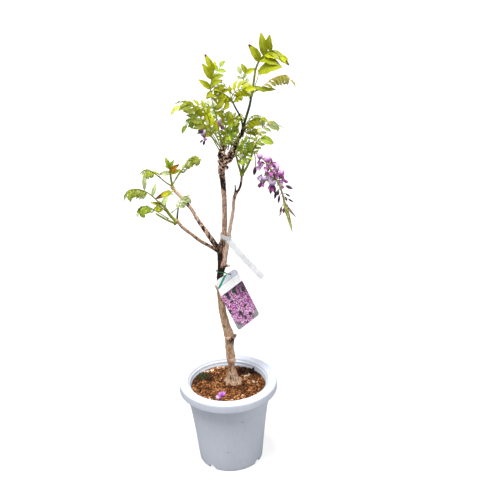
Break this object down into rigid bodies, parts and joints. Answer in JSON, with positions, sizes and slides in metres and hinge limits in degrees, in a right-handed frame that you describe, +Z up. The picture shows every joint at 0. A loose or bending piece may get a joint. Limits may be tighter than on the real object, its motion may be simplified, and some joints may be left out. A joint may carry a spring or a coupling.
{
  "type": "potted wisteria",
  "caption": "Young grafted wisteria with pinnate leaves and hanging flower racemes, standing in a round plastic pot of soil, with a blank nursery label.",
  "frame": {"origin": "on the ground under the pot's axis, at the flat pad in the middle of the pot's underside", "axes": "+Z up along the pot's axis, -Y towards the front, where the label faces, +X to the right"},
  "size_m": [0.3124, 0.1834, 0.815],
  "materials": {
    "pot_plastic": "semi-matte moulded plastic",
    "soil": null,
    "bark": "rough young bark",
    "leaf": "soft young leaf, slightly glossy above",
    "leaf_pale": "soft young leaf, paler",
    "petal": "matte petal",
    "label_card": "glossy printed sheet plastic",
    "label_strap": "translucent thin plastic strip",
    "label_tie": "plastic coated wire",
    "moss": "soft moss",
    "dead_leaf": "dry leaf"
  },
  "bodies": {
    "root": {"pot": "pot_plastic", "soil": "soil", "woody_stem": "bark", "shoot_top": "leaf", "shoot_middle": "leaf", "shoot_tall": "leaf", "leaf_left_outer": "leaf", "leaf_left_curled": "leaf", "leaf_left_back": "leaf_pale", "leaf_left_yellow": "leaf", "leaf_fork_right": "leaf", "leaf_fork_pale": "leaf_pale", "leaf_fork_comb": "leaf_pale", "leaf_knob_back": "leaf", "leaf_knob_front": "leaf", "shoots_pale_stem": "leaf", "shoot_high_branch": "leaf", "shoot_low_branch": "leaf", "leaf_low_branch_pale": "leaf_pale", "raceme": "petal", "raceme_small": "petal", "flower_single": "petal", "label_card": "label_card", "label_strap": "label_strap", "label_tie": "label_tie", "moss_tuft": "moss", "dead_leaf": "dead_leaf", "fallen_flower": "petal"}
  },
  "joints": []
}
